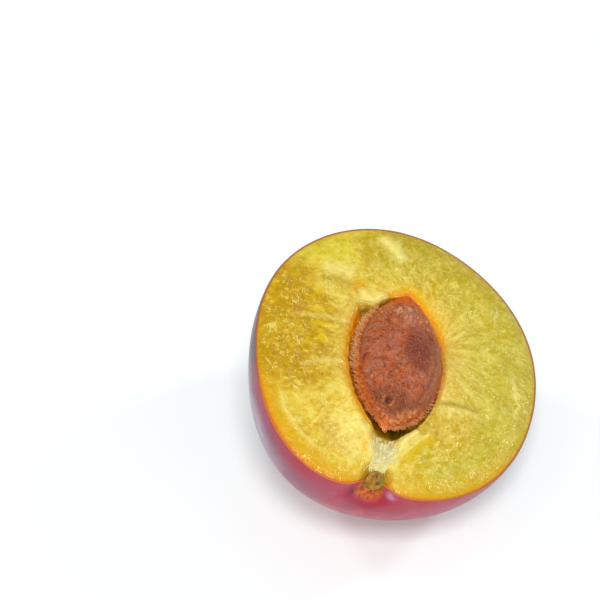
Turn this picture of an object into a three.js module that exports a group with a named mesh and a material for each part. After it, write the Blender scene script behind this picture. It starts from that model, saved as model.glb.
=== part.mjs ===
// Half a plum with its stone, lying on its skin with the cut face up.
//
// The fruit's own axes: origin in the middle of the cut face, x across the face, y along the
// fruit from the stalk end to the blossom end, z out of the cut face. The whole half is then
// laid on the ground, so that it leans to the right and rests on a small flat spot.

import * as THREE from 'three';

// Driving dimensions in millimetres
const HALF_WIDTH = 25.0; // middle of the cut face to its side
const HALF_LENGTH = 26.5; // middle of the cut face to the stalk end or the blossom end
const DEPTH = 24.5; // cut face to the back of the fruit
const SKIN_THICKNESS = 0.8;
const GAP = 0.3; // air between the skin and the flesh
const REST_DEPTH = 0.75; // how far the fruit's own weight flattens its lowest point

// The cut outline swells and narrows by these shares of the radius: cosine and sine parts of the
// second to the fifth wave round it
const OUTLINE_WAVES = [[-0.0208, 0.0103], [0.0126, 0.0022], [-0.007, -0.0054], [-0.0039, 0.0059]];

// The hollow that the stalk stood in: a steep funnel in a wide shallow dip
const STALK_X = -0.4;
const FUNNEL_DEPTH = 2.9;
const FUNNEL_RADIUS = 2.9;
const DIP_DEPTH = 1.1;
const DIP_RADIUS = 7.5;
const NOTCH_DROP = 1.2; // how far the cut edge hangs down where it crosses that hollow
const NOTCH_HALF_WIDTH = 2.2;
const NOTCH_FADE = 6.0;

// The cut face: rounded at the skin, a little crowned, with a valley from the stone to the stalk
const CROWN = 0.75;
const ROUNDING = 3.4;
const VALLEY_DEPTH = 1.8;
const VALLEY_HALF_WIDTH = 2.4;
const VALLEY_START = -12.0; // y where the valley leaves the stone's hollow
const VALLEY_RAMP = 4.0;
const HOLLOW_LIP = 0.5; // how far the flesh rounds down to the stone's hollow

// The stone: a flattened drop with a keel all round and its sharper end towards the blossom end
const STONE_HALF_LENGTH = 13.85;
const STONE_HALF_WIDTH = 7.75;
const STONE_HALF_HEIGHT = 4.8;
const STONE_CENTRE = new THREE.Vector3(0.5, 0.1, 0.2);
const STONE_TAPER = 1.52; // 1 is an ellipse, more draws the ends out to points
const STONE_TAPER_CHANGE = 0.17; // added at the sharp end, taken off at the blunt one
const STONE_SPINE = 1.25; // how fast the height falls off towards the ends
const STONE_KEEL = 1.25; // 1 is a round edge, more is a sharper keel

// The stone's hollow in the flesh stands this far back from it, and more below and at its left
const CLEARANCE = 0.5;
const CLEARANCE_LEFT = 0.6;
const CLEARANCE_BELOW = 1.1;

// How the half lies, in degrees: turned about its own z, then leant about y and about x
const LAY_SPIN = -9.2;
const LAY_LEAN_RIGHT = 17.8;
const LAY_LEAN_FRONT = 6.9;

// How finely the surfaces are divided
const COLUMNS = 72;
const STALK_CROWDING = 0.7; // 0 spreads the columns evenly, more gathers them at the stalk end
const BOWL_RINGS = 11;
const BOWL_CROWDING = 1.6; // more gathers the rings at the cut edge
const FACE_RINGS = 9;
const FACE_CROWDING = 1.4;
const HOLLOW_RINGS = 5;
const STONE_COLUMNS = 32;
const STONE_RINGS = 23;

const laying = new THREE.Euler(
  THREE.MathUtils.degToRad(LAY_LEAN_FRONT),
  THREE.MathUtils.degToRad(LAY_LEAN_RIGHT),
  THREE.MathUtils.degToRad(LAY_SPIN),
  'XYZ',
);
const upright = new THREE.Quaternion().setFromEuler(laying).invert();
const up = new THREE.Vector3(0, 0, 1).applyQuaternion(upright);

// The direction whose point of the skin would be the lowest, and how deep that point would lie
const reachDown = new THREE.Vector3(HALF_WIDTH, HALF_LENGTH, DEPTH).multiply(up);
const lowestDepth = reachDown.length();
const lowest = reachDown.clone().normalize().negate();
const floorHeight = REST_DEPTH - lowestDepth;
const flatAngle = 0.96 * Math.acos(-floorHeight / lowestDepth); // just inside the spot's edge

// A smooth hump of height 1 that has faded out at about twice its width
function hump(distance, width) {
  return Math.exp(-((distance / width) ** 2));
}

// Angles round the cut face, counted from +x, gathered about the stalk end at -90 degrees
const columnAngles = Array.from({ length: COLUMNS }, (_, i) => {
  const fromStalk = (2 * Math.PI * (i + 0.5)) / COLUMNS - Math.PI;
  return fromStalk - STALK_CROWDING * Math.sin(fromStalk) - Math.PI / 2;
});

// A point on the fruit's bowl in a unit direction, `inset` inside the skin's surface
function bowlPoint(direction, inset) {
  const around = Math.atan2(direction.y, direction.x);
  const level = direction.x ** 2 + direction.y ** 2;
  const wave = OUTLINE_WAVES.reduce((sum, [cosine, sine], i) => {
    return sum + cosine * Math.cos((i + 2) * around) + sine * Math.sin((i + 2) * around);
  }, 0);
  const point = new THREE.Vector3(
    (HALF_WIDTH - inset) * direction.x * (1 + wave * level),
    (HALF_LENGTH - inset) * direction.y * (1 + wave * level),
    (DEPTH - inset) * direction.z,
  );
  if (direction.y < 0) {
    const reach = Math.hypot(point.x - STALK_X, point.z);
    point.y += FUNNEL_DEPTH * hump(reach, FUNNEL_RADIUS) + DIP_DEPTH * hump(reach, DIP_RADIUS);
    const nearEdge = Math.max(0, 1 + point.z / NOTCH_FADE) ** 2;
    point.z -= NOTCH_DROP * hump(point.x - STALK_X, NOTCH_HALF_WIDTH) * nearEdge;
  }
  const sunk = floorHeight + inset - point.dot(up);
  return sunk > 0 ? point.addScaledVector(up, sunk) : point;
}

// One ring of the bowl: `fall` is 0 at the cut edge and 1 at the edge of the resting spot
function bowlRing(fall, inset) {
  return columnAngles.map((angle) => {
    const edge = new THREE.Vector3(Math.cos(angle), Math.sin(angle), 0);
    const whole = lowest.angleTo(edge);
    const part = flatAngle + (whole - flatAngle) * (1 - fall ** BOWL_CROWDING);
    const direction = lowest
      .clone()
      .multiplyScalar(Math.sin(whole - part))
      .addScaledVector(edge, Math.sin(part))
      .divideScalar(Math.sin(whole));
    return bowlPoint(direction, inset);
  });
}

// The bowl's rings from the resting spot up to the cut edge
function bowlRings(inset) {
  return Array.from({ length: BOWL_RINGS + 1 }, (_, i) => bowlRing(1 - i / BOWL_RINGS, inset));
}

// The stone's half width at `turn`, which runs from 0 at its sharp end to 180 degrees
function stoneHalfWidth(turn) {
  const taper = STONE_TAPER + STONE_TAPER_CHANGE * Math.cos(turn);
  return Math.sin(turn) ** taper;
}

// A point on the rim of the stone's hollow, at an angle round the cut face
function hollowRim(angle) {
  const turn = Math.PI / 2 - angle;
  const sine = Math.sin(turn);
  const fromTip = Math.acos(Math.cos(turn));
  const below = CLEARANCE_BELOW * hump(Math.PI - fromTip, 0.4);
  const left = sine < 0 ? CLEARANCE_LEFT * sine ** 2 * (1 - Math.cos(turn)) : 0;
  const clearance = CLEARANCE + below + left;
  const width = STONE_HALF_WIDTH * Math.sign(sine) * stoneHalfWidth(fromTip);
  return new THREE.Vector3(
    width + clearance * sine,
    (STONE_HALF_LENGTH + clearance) * Math.cos(turn),
    0,
  );
}

// A ring of the hollow under the stone: `share` is 0 at its deepest point and 1 at its rim
function hollowRing(share) {
  return columnAngles.map((angle) => {
    const point = hollowRim(angle).multiplyScalar(share);
    const depth = (STONE_HALF_HEIGHT + 2 * CLEARANCE) * (1 - share ** 2) ** 0.6;
    point.z = -depth;
    return point.add(STONE_CENTRE);
  });
}

// Height of the cut face at a point that lies `inward` millimetres in from the skin's edge
function faceHeight(point, inward) {
  const rise = CROWN * (1 - (1 - Math.min(inward / ROUNDING, 1)) ** 2);
  const along = THREE.MathUtils.smoothstep(VALLEY_START - point.y, 0, VALLEY_RAMP);
  const across = hump(point.x - STALK_X, VALLEY_HALF_WIDTH);
  return rise - VALLEY_DEPTH * along * across * Math.min(inward / 2, 1);
}

// The cut face's rings, from just inside the skin to the rim of the stone's hollow
function faceRings(edge) {
  const rim = hollowRing(1);
  return Array.from({ length: FACE_RINGS }, (_, i) => {
    const share = ((i + 1) / FACE_RINGS) ** FACE_CROWDING;
    return edge.map((start, column) => {
      const point = start.clone().lerp(rim[column], share);
      const inward = Math.hypot(point.x - start.x, point.y - start.y);
      point.z = start.z * (1 - share) ** 2 + faceHeight(point, inward);
      point.z -= HOLLOW_LIP * hump(1 - share, 0.15);
      return point;
    });
  });
}

// A closed body from a first pole, rings of equally many points, and a last pole. Seen from the
// last pole the points of a ring run anticlockwise.
function closedBody(firstPole, rings, lastPole) {
  const columns = rings[0].length;
  const points = [firstPole, ...rings.flat(), lastPole];
  const positions = new Float32Array(points.length * 3);
  points.forEach((point, i) => point.toArray(positions, i * 3));
  const triangles = [];
  for (let ring = 0; ring <= rings.length; ring += 1) {
    const below = 1 + (ring - 1) * columns;
    const above = 1 + ring * columns;
    for (let column = 0; column < columns; column += 1) {
      const next = (column + 1) % columns;
      if (ring === 0) {
        triangles.push(0, above + next, above + column);
      } else if (ring === rings.length) {
        triangles.push(below + column, below + next, points.length - 1);
      } else {
        triangles.push(below + column, below + next, above + next);
        triangles.push(below + column, above + next, above + column);
      }
    }
  }
  const geometry = new THREE.BufferGeometry();
  geometry.setAttribute('position', new THREE.BufferAttribute(positions, 3));
  geometry.setIndex(triangles);
  geometry.computeVertexNormals();
  return geometry;
}

// The skin: a thin bowl, cut level at the face, with the stalk's hollow pressed into one end
function skin() {
  const rings = [...bowlRings(0), ...bowlRings(SKIN_THICKNESS).reverse()];
  return closedBody(bowlPoint(lowest, 0), rings, bowlPoint(lowest, SKIN_THICKNESS));
}

// The flesh: fills the skin up to the cut face and is hollow where the stone lies
function flesh() {
  const inset = SKIN_THICKNESS + GAP;
  const outside = bowlRings(inset);
  const hollow = Array.from({ length: HOLLOW_RINGS }, (_, i) => {
    return hollowRing(Math.cos(((i + 1) / (HOLLOW_RINGS + 1)) * (Math.PI / 2)));
  });
  const rings = [...outside, ...faceRings(outside.at(-1)), ...hollow];
  const bottom = new THREE.Vector3(0, 0, -STONE_HALF_HEIGHT - 2 * CLEARANCE).add(STONE_CENTRE);
  return closedBody(bowlPoint(lowest, inset), rings, bottom);
}

// The stone: rings along its length, each a lens whose edges make the keel
function stone() {
  const rings = Array.from({ length: STONE_RINGS }, (_, i) => {
    const turn = Math.PI * (1 - (i + 1) / (STONE_RINGS + 1));
    const width = STONE_HALF_WIDTH * stoneHalfWidth(turn);
    const height = STONE_HALF_HEIGHT * Math.sin(turn) ** STONE_SPINE;
    return Array.from({ length: STONE_COLUMNS }, (__, k) => {
      const around = (2 * Math.PI * k) / STONE_COLUMNS;
      const lens = Math.cos(around) * Math.abs(Math.cos(around)) ** (STONE_KEEL - 1);
      const length = STONE_HALF_LENGTH * Math.cos(turn);
      return new THREE.Vector3(width * Math.sin(around), length, height * lens).add(STONE_CENTRE);
    });
  });
  const blunt = new THREE.Vector3(0, -STONE_HALF_LENGTH, 0).add(STONE_CENTRE);
  const sharp = new THREE.Vector3(0, STONE_HALF_LENGTH, 0).add(STONE_CENTRE);
  return closedBody(blunt, rings, sharp);
}

function piece(name, geometry, color, roughness) {
  const mesh = new THREE.Mesh(geometry, new THREE.MeshStandardMaterial({ color, roughness, metalness: 0 }));
  mesh.name = name;
  return mesh;
}

const half = new THREE.Group();
half.add(piece('skin', skin(), 0x6e2340, 0.35));
half.add(piece('flesh', flesh(), 0xd3b23c, 0.3));
half.add(piece('stone', stone(), 0x9c5838, 0.6));
half.rotation.copy(laying);

// The origin is at the bottom centre of the box round the half as it lies
const box = new THREE.Box3().setFromObject(half, true);
const middle = box.getCenter(new THREE.Vector3());
half.position.set(-middle.x, -middle.y, -box.min.z);

const group = new THREE.Group();
group.add(half);

export default group;
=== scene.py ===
"""Half a plum with its stone, lying on its skin with the cut face up: waxy skin, wet flesh, a moist
stone and its fibres, on a pale floor in soft light.

Shapes are worked out in millimetres on the fruit's own axes: the origin in the middle of the cut
face, x across it, y from the stalk end to the blossom end, z out of it. `lay` then turns them as
the half lies and brings them to metres in the frame."""
import math
from itertools import product

import bpy
import numpy as np
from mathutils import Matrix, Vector


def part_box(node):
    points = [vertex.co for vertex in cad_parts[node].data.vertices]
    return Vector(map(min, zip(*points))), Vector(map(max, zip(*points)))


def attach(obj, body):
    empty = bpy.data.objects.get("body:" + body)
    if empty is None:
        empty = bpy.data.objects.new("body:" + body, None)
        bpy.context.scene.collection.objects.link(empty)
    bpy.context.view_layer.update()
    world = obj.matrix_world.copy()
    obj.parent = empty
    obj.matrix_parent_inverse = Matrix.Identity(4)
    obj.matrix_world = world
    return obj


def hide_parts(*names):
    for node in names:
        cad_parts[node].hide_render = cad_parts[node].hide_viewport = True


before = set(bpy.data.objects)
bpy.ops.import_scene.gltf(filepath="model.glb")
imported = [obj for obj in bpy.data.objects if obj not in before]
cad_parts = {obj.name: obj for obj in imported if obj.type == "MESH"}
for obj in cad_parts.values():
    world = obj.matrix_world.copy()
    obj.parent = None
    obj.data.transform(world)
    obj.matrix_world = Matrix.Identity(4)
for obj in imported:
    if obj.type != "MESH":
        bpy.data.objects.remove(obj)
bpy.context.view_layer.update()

# The fruit's sizes in millimetres. They are its solids', but for a thinner skin, a flatter valley,
# and the stone's lean and blunted foot.
HALF_WIDTH = 25.0
HALF_LENGTH = 26.5
DEPTH = 24.5
REST_DEPTH = 0.75
OUTLINE_WAVES = ((-0.0208, 0.0103), (0.0126, 0.0022), (-0.007, -0.0054), (-0.0039, 0.0059))
STALK_X = -0.4
FUNNEL_DEPTH = 2.9
FUNNEL_RADIUS = 2.9
DIP_DEPTH = 1.1
DIP_RADIUS = 7.5
NOTCH_DROP = 1.2
NOTCH_HALF_WIDTH = 2.2
NOTCH_FADE = 6.0
SKIN_THICKNESS = 0.3
FLESH_INSET = SKIN_THICKNESS + 0.02
CROWN = 0.75
ROUNDING = 3.4
VALLEY_DEPTH = 1.0
STONE_HALF_LENGTH = 13.85
STONE_HALF_WIDTH = 7.75
STONE_HALF_HEIGHT = 4.8
STONE_CENTRE = np.array([0.5, 0.1, 0.2])
STONE_TAPER = 1.52
STONE_TAPER_CHANGE = 0.17
STONE_SPINE = 1.25
STONE_KEEL = 1.25
STONE_LEAN = 0.5
FOOT_BLUNTING = 0.55
RELIEF_SINK = 0.28  # how deep the stone's relief is set in, so that its crests stay in the solid
TIP_WEAR = 0.12  # how much slimmer it is towards its sharp end
FOOT_INSET = 0.8  # how far its poles stand in from the ends of the plain lens
TIP_INSET = 0.3
HOLLOW_DEPTH = STONE_HALF_HEIGHT + 1.0
MILLIMETRE = 0.001

# How the half lies, in degrees: turned about its own z, then leant about y and about x
LAY_SPIN = -9.2
LAY_LEAN_RIGHT = 17.8
LAY_LEAN_FRONT = 6.9

# The camera: where the photograph shows the middle of the cut face, and from how far and how high
FACE_MIDDLE_PIXEL = (396.0, 362.5)
FRAME_PIXELS = 600
CAMERA_DISTANCE = 0.380
CAMERA_ELEVATION = 48.0
LENS = 139.2
SENSOR = 36.0


def turn_about(axis, degrees):
    """The matrix of a turn about x, y or z, numbered 0, 1 and 2."""
    cosine, sine = math.cos(math.radians(degrees)), math.sin(math.radians(degrees))
    matrix = np.eye(3)
    second, third = (axis + 1) % 3, (axis + 2) % 3
    matrix[second, second] = matrix[third, third] = cosine
    matrix[third, second] = sine
    matrix[second, third] = -sine
    return matrix


# Rows give the world's axes on the fruit's: a turn about z, then about y, then about x
TURN = turn_about(0, LAY_LEAN_FRONT) @ turn_about(1, LAY_LEAN_RIGHT) @ turn_about(2, LAY_SPIN)
UP = TURN[2]
SEMI_AXES = np.array([HALF_WIDTH, HALF_LENGTH, DEPTH])
LOWEST_DEPTH = np.linalg.norm(SEMI_AXES * UP)
LOWEST = -SEMI_AXES * UP / LOWEST_DEPTH
FLOOR_HEIGHT = REST_DEPTH - LOWEST_DEPTH


def hump(distance, width):
    """A smooth hump of height 1: e to the minus square of distance over width."""
    return np.exp(-((distance / width) ** 2))


def step(start, end, value):
    """0 before start, 1 after end, and a smooth ease of 3t^2 - 2t^3 between."""
    t = np.clip((value - start) / (end - start), 0, 1)
    return t * t * (3 - 2 * t)


def noise(points, size, seed):
    """Smooth random values of about -1 to 1 with humps `size` across: each corner of a lattice cell,
    turned some way of its own, has a random slope, and the eight ramps are mixed with an ease of
    the fifth power."""
    rng = np.random.default_rng(seed)
    table = rng.permutation(256)
    slopes = rng.normal(size=(256, 3))
    slopes /= np.linalg.norm(slopes, axis=1, keepdims=True)
    turned, _ = np.linalg.qr(rng.normal(size=(3, 3)))
    scaled = points @ turned / size
    cell = np.floor(scaled).astype(int)
    inside = scaled - cell
    ease = inside**3 * (inside * (inside * 6 - 15) + 10)
    total = np.zeros(points.shape[:-1])
    for corner in product((0, 1), repeat=3):
        row = table[(cell[..., 0] + corner[0]) & 255]
        row = table[(row + cell[..., 1] + corner[1]) & 255]
        row = table[(row + cell[..., 2] + corner[2]) & 255]
        ramp = (slopes[row] * (inside - corner)).sum(-1)
        weight = np.where(corner, ease, 1 - ease).prod(-1)
        total += weight * ramp
    return total * 1.7


def grain(points, size, seed, octaves=3, fade=0.5):
    """Noise summed over octaves, each half the size and `fade` the height of the last."""
    return sum(fade**i * noise(points, size / 2**i, seed + i) for i in range(octaves))


def line_distance(x, y, points):
    """Distance to a line through a few points, and how far along it from 0 to 1."""
    best = np.full(np.shape(x), 1e9)
    along = np.zeros(np.shape(x))
    pieces = len(points) - 1
    for i in range(pieces):
        (ax, ay), (bx, by) = points[i], points[i + 1]
        dx, dy = bx - ax, by - ay
        t = np.clip(((x - ax) * dx + (y - ay) * dy) / (dx * dx + dy * dy), 0, 1)
        gap = np.hypot(x - ax - t * dx, y - ay - t * dy)
        along = np.where(gap < best, (i + t) / pieces, along)
        best = np.minimum(best, gap)
    return best, along


def normals_of(rings):
    """Unit normals of a grid of rings that close on themselves: its two slopes' cross product."""
    across = np.roll(rings, -1, axis=1) - np.roll(rings, 1, axis=1)
    along = np.gradient(rings, axis=0)
    normal = np.cross(across, along)
    return normal / np.maximum(np.linalg.norm(normal, axis=-1, keepdims=True), 1e-9)


def column_angles(count, crowding):
    """Angles round the cut face from +x, gathered about the stalk end at -90 degrees."""
    from_stalk = 2 * np.pi * (np.arange(count) + 0.5) / count - np.pi
    return from_stalk - crowding * np.sin(from_stalk) - np.pi / 2


def bowl(direction, inset):
    """The fruit's bowl in unit directions: an ellipsoid swollen by the outline's waves, with the
    stalk's funnel pressed in, the cut edge let down at the funnel, and the lowest part flat."""
    around = np.arctan2(direction[..., 1], direction[..., 0])
    level = direction[..., 0] ** 2 + direction[..., 1] ** 2
    wave = sum(
        c * np.cos((i + 2) * around) + s * np.sin((i + 2) * around)
        for i, (c, s) in enumerate(OUTLINE_WAVES)
    )
    swell = np.stack([1 + wave * level, 1 + wave * level, np.ones_like(level)], -1)
    point = (SEMI_AXES - inset) * direction * swell
    stalk_end = direction[..., 1] < 0
    reach = np.hypot(point[..., 0] - STALK_X, point[..., 2])
    funnel = FUNNEL_DEPTH * hump(reach, FUNNEL_RADIUS) + DIP_DEPTH * hump(reach, DIP_RADIUS)
    near_edge = np.maximum(0, 1 + point[..., 2] / NOTCH_FADE) ** 2
    drop = NOTCH_DROP * hump(point[..., 0] - STALK_X, NOTCH_HALF_WIDTH) * near_edge
    point[..., 1] += np.where(stalk_end, funnel, 0)
    point[..., 2] -= np.where(stalk_end, drop, 0)
    sunk = np.maximum(FLOOR_HEIGHT + inset - point @ UP, 0)
    return point + sunk[..., None] * UP


def bowl_directions(angles, falls):
    """Unit directions on the great circles from the resting spot (fall 1) to the cut edge (fall 0)."""
    edge = np.stack([np.cos(angles), np.sin(angles), np.zeros_like(angles)], -1)
    whole = np.arccos(edge @ LOWEST)[None, :, None]
    part = whole * (1 - falls)[:, None, None]
    return (LOWEST * np.sin(whole - part) + edge[None] * np.sin(part)) / np.sin(whole)


def stone_half_width(turn):
    """The stone's half width, as a share: a sine raised to a taper that is sharper at turn 0."""
    return np.abs(np.sin(turn)) ** (STONE_TAPER + STONE_TAPER_CHANGE * np.cos(turn))


def stone_lean(y):
    """How far the stone's sharp end stands to the left of its middle line."""
    return -STONE_LEAN * step(0.0, 10.0, y)


# The gap between the stone and the flesh in millimetres, by degrees from the stone's sharp end
# towards +x. Under 0 the flesh clings to the stone.
RIM_GAP = (
    (0, -0.35), (31, -0.5), (60, -0.42), (90, -0.3), (105, -0.1), (118, 0.4), (128, 0.8), (140, 1.1),
    (165, 1.6), (180, 1.9), (200, 1.5), (217, 1.05), (238, 1.0), (257, 1.15), (275, 1.25), (288, 1.45),
    (297, 1.75), (303, 2.7), (305, 2.6), (307, 1.0), (312, 0.4), (320, 0.4), (328, 0.3), (336, -0.1),
    (346, -0.35), (360, -0.35),
)
RIM_SMOOTHING = 3


def hollow_rim(angles):
    """The rim of the stone's hollow, which is the stone's outline pushed out by the gap, a little
    ragged, and the gap."""
    turn = np.pi / 2 - angles
    degrees = np.degrees(turn) % 360
    gap = np.interp(degrees, *zip(*RIM_GAP))
    gap = np.mean([np.roll(gap, k) for k in range(-RIM_SMOOTHING, RIM_SMOOTHING + 1)], axis=0)
    on_circle = np.stack([np.cos(turn) * 9, np.sin(turn) * 9, np.zeros_like(turn)], -1)
    gap = gap + 0.16 * np.minimum(gap, 1) * grain(on_circle, 1.1, 21)
    width = STONE_HALF_WIDTH * np.sign(np.sin(turn)) * stone_half_width(turn)
    y = (STONE_HALF_LENGTH + gap) * np.cos(turn)
    x = width + gap * np.sin(turn) + stone_lean(y)
    return np.stack([x, y, np.zeros_like(x)], -1), gap


# Lines on the cut face, by x and y on the fruit's axes
LEFT_STEP = ((-15.5, 12.6), (-12.0, 13.4), (-8.8, 13.2))
UPPER_CLEFT = ((-9.0, 13.4), (-9.4, 16.0), (-8.8, 19.5))
RIGHT_CREASE = ((7.4, -5.7), (10.0, -5.0), (12.8, -4.6), (16.0, -5.2))
LEFT_RIDGE = ((-8.0, -3.4), (-13.1, -4.8), (-16.5, -7.2))
UPPER_RIDGE = ((-8.2, 4.6), (-14.0, 4.0), (-20.0, 2.2))
RIM_LINE = ((-18.6, -11.5), (-17.2, -15.8), (-13.4, -19.6), (-9.4, -21.8))
RIGHT_BANK = ((5.6, -11.6), (3.9, -14.2), (2.3, -17.6), (1.2, -20.8))
BANK_GROOVE = ((8.6, -12.2), (6.2, -14.4), (4.0, -17.6), (1.9, -21.0))
BANK_EDGE = ((5.4, -11.9), (4.0, -13.4), (2.9, -14.9), (2.3, -17.0))
BANK_STREAK = ((7.6, -11.6), (5.2, -14.8), (3.0, -18.8), (1.6, -21.4))
LEFT_BANK = ((-5.2, -13.6), (-3.4, -15.4), (-2.6, -18.0), (-2.2, -20.6))
LEFT_FOLD = ((-3.6, -15.0), (-3.1, -17.4), (-2.9, -19.4), (-2.2, -21.6))
RIGHT_ARC = ((19.4, 4.6), (20.2, 2.4), (21.2, 0.2), (21.4, -2.2), (20.2, -4.4))
PALE_PATCH = ((-6.4, 24.4), (-4.4, 22.8), (-2.6, 21.4), (-1.0, 19.6))
FLAP = ((-8.6, 12.4), (-7.4, 10.6), (-6.3, 10.0), (-5.2, 10.2), (-4.2, 11.4), (-3.0, 12.6))
FLAP_CRACK = ((-7.4, 8.4), (-8.0, 9.8), (-8.5, 11.2), (-9.2, 13.0))

# What each line does: its height in millimetres or its share of colour, and its half width. Some
# are moved: how far down, and how much of the face's raggedness moves them along x and along y.
RELIEF_MARKS = (
    (FLAP, 0.45, 1.0),
    (FLAP_CRACK, -0.4, 0.45),
    (UPPER_CLEFT, -0.12, 0.6),
    (RIGHT_CREASE, -0.26, 0.45, 0, 0, 1),
    (RIGHT_CREASE, 0.16, 0.9, 1.1, 0, 0),
    (LEFT_RIDGE, 0.16, 0.5),
    (UPPER_RIDGE, 0.1, 0.5),
    (RIM_LINE, 0.1, 0.5),
    (RIGHT_BANK, 0.35, 0.8),
    (BANK_GROOVE, -0.22, 0.5),
    (LEFT_BANK, 0.35, 0.7),
    (BANK_EDGE, 0.18, 0.45, 0, 0.5, 0),
    (BANK_STREAK, 0.14, 0.35),
    (PALE_PATCH, 0.12, 1.2),
    (RIGHT_ARC, 0.12, 0.3, 0, 2, 0),
)
COLOUR_MARKS = {
    # painted shade in the creases, the crack and below the step
    "painted_crease_shade": (
        (RIGHT_CREASE, 1, 0.5, 0, 0, 1),
        (LEFT_STEP, 0.8, 0.9, 0.9, 0, 0),
        (FLAP_CRACK, 0.9, 0.32),
    ),
    # pale tears, with painted highlights on the step's lip and the arc at the right
    "pale": (
        (PALE_PATCH, 1, 1.2),
        (FLAP, 0.9, 0.9),
        (RIGHT_CREASE, 0.5, 0.7, 1.2, 0, 0),
        (LEFT_STEP, 0.8, 1.4, -1.2, 0, 0),
        (LEFT_RIDGE, 0.5, 0.5),
        (UPPER_RIDGE, 0.4, 0.4),
        (RIM_LINE, 0.5, 0.4),
        (RIGHT_BANK, 0.7, 0.8),
        (RIGHT_ARC, 0.7, 0.32, 0, 2, 0),
        (BANK_EDGE, 0.8, 0.5),
        (BANK_STREAK, 0.8, 0.35),
        (LEFT_BANK, 0.6, 0.6),
    ),
    "amber": ((LEFT_FOLD, 1, 0.7),),
    "golden": ((BANK_GROOVE, 1, 0.7),),
}

FIBRE_CENTRE = (6.0, 4.5)
VALLEY_Y = (-22.5, -21.5, -20.0, -18.0, -15.0, -13.0)
VALLEY_HALF_WIDTH = (0.8, 1.0, 1.45, 1.9, 2.75, 3.1)
VALLEY_MIDDLE = (-0.2, -0.1, 0.05, 0.3, 0.1, 0.2)


def line_mark(x, y, points, width):
    """A soft mark along a line, full in its middle and faded at both ends."""
    gap, along = line_distance(x, y, points)
    return hump(gap, width) * step(0, 0.15, along) * step(1, 0.75, along)


def raggedness(place):
    """How far torn lines wander from their course, in millimetres."""
    return 0.35 * noise(place, 1.3, 50)


def marked(x, y, ragged, marks):
    """The sum of some lines' soft marks, each by its height, half width and moves."""
    total = 0
    for line, height, width, *moves in marks:
        down, along_x, along_y = moves or (0, 0, 0)
        moved_x, moved_y = x + along_x * ragged, y + down + along_y * ragged
        total = total + height * line_mark(moved_x, moved_y, line, width)
    return total


def valley(x, y):
    """How far a place is into the valley between the stone and the stalk: it narrows towards it."""
    half_width = np.interp(y, VALLEY_Y, VALLEY_HALF_WIDTH)
    middle = np.interp(y, VALLEY_Y, VALLEY_MIDDLE)
    wall = 1 - step(0.35, 1.15, np.abs(x - middle) / half_width)
    return wall * step(-12.8, -15.0, y)


def fibre_place(x, y):
    """A place for marks that run out from the stone: the direction from a centre right of the
    stone laid on a circle of radius 8, and the distance out squeezed to 0.28 of itself."""
    from_centre = np.arctan2((y - FIBRE_CENTRE[1]) * 1.1, x - FIBRE_CENTRE[0])
    reach = np.hypot(x - FIBRE_CENTRE[0], y - FIBRE_CENTRE[1])
    return np.stack([8 * np.cos(from_centre), 8 * np.sin(from_centre), 0.28 * reach], -1)


def wet_crests(x, y):
    """Bright wavy crests of the wet flesh: the zero lines of a noise, kept in clusters that are
    strong at the left and fainter at the right."""
    place = np.stack([x, y, np.zeros_like(x)], -1)
    bend = 0.7 * np.stack([noise(place, 1.6, 47), noise(place, 1.6, 48), np.zeros_like(x)], -1)
    lines = hump(noise((place + bend) * (1.0, 0.8, 1.0), 0.95, 45), 0.13)
    cluster = step(-0.55, 0.2, noise(place, 2.6, 49))
    at_left = step(-8.0, -17.0, x) * step(-19.0, -8.0, y) * step(18.0, 10.0, y)
    at_right = 0.4 * step(9.0, 14.0, x) * step(-16.0, -8.0, y)
    return lines * cluster * np.maximum(at_left, at_right)


def face_relief(x, y, inward, to_stone):
    """Height of the cut face: crown and rim, the valley, tears, creases and wet lumps."""
    place = np.stack([x, y, np.zeros_like(x)], -1)
    height = CROWN * (1 - (1 - np.minimum(inward / ROUNDING, 1)) ** 2)
    free = np.minimum(inward / 2.0, 1) * np.minimum(to_stone / 0.8 + 0.15, 1)
    height -= VALLEY_DEPTH * valley(x, y) * np.minimum(inward / 2.5, 1)
    height -= 0.3 * hump(to_stone, 0.4) * step(15.5, 12.0, y)
    height += marked(x, y, raggedness(place), RELIEF_MARKS)
    # the torn flap swells over the hollow's upper left
    height += 0.25 * hump(np.hypot((x + 5.8) / 1.5, y - 11.9), 1.6)
    # the step at the left, higher above the line
    gap, along = line_distance(x, y, LEFT_STEP)
    side = np.where(y > np.interp(x, *zip(*LEFT_STEP)), 1, -0.7)
    height += 0.2 * side * step(0, 0.7, gap) * hump(gap, 2.6) * step(0, 0.6, along)
    # fibres that run out from the stone, strongest at its left and below
    spokes = fibre_place(x, y)
    height += 0.055 * grain(spokes, 0.9, 31, 2) * step(3, -10, x + 0.4 * y) * free
    # wet lumps all over, and wavy crests at the far left
    height += free * (0.1 * noise(place, 4.6, 41) + 0.05 * noise(place, 1.9, 42))
    height += free * (0.03 * noise(place, 0.9, 43) + 0.014 * noise(place, 0.5, 44))
    height += 0.085 * free * wet_crests(x, y)
    # streaks along the valley
    streaks = noise(np.stack([x * 2.6, y * 0.25, np.zeros_like(x)], -1), 1.0, 46)
    height += 0.16 * valley(x, y) * streaks
    return height


def lay(points):
    """Turns the fruit's millimetres to metres in the frame."""
    return points @ TURN.T * MILLIMETRE + OFFSET


def add_fields(mesh, fields):
    """Stores values per vertex: one number each, or three for a place."""
    for name, values in fields.items():
        if values.ndim == 2:
            stored = mesh.attributes.new(name, "FLOAT_VECTOR", "POINT")
            stored.data.foreach_set("vector", values.astype(np.float32).ravel())
        else:
            stored = mesh.attributes.new(name, "FLOAT", "POINT")
            stored.data.foreach_set("value", values.astype(np.float32).ravel())


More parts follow.
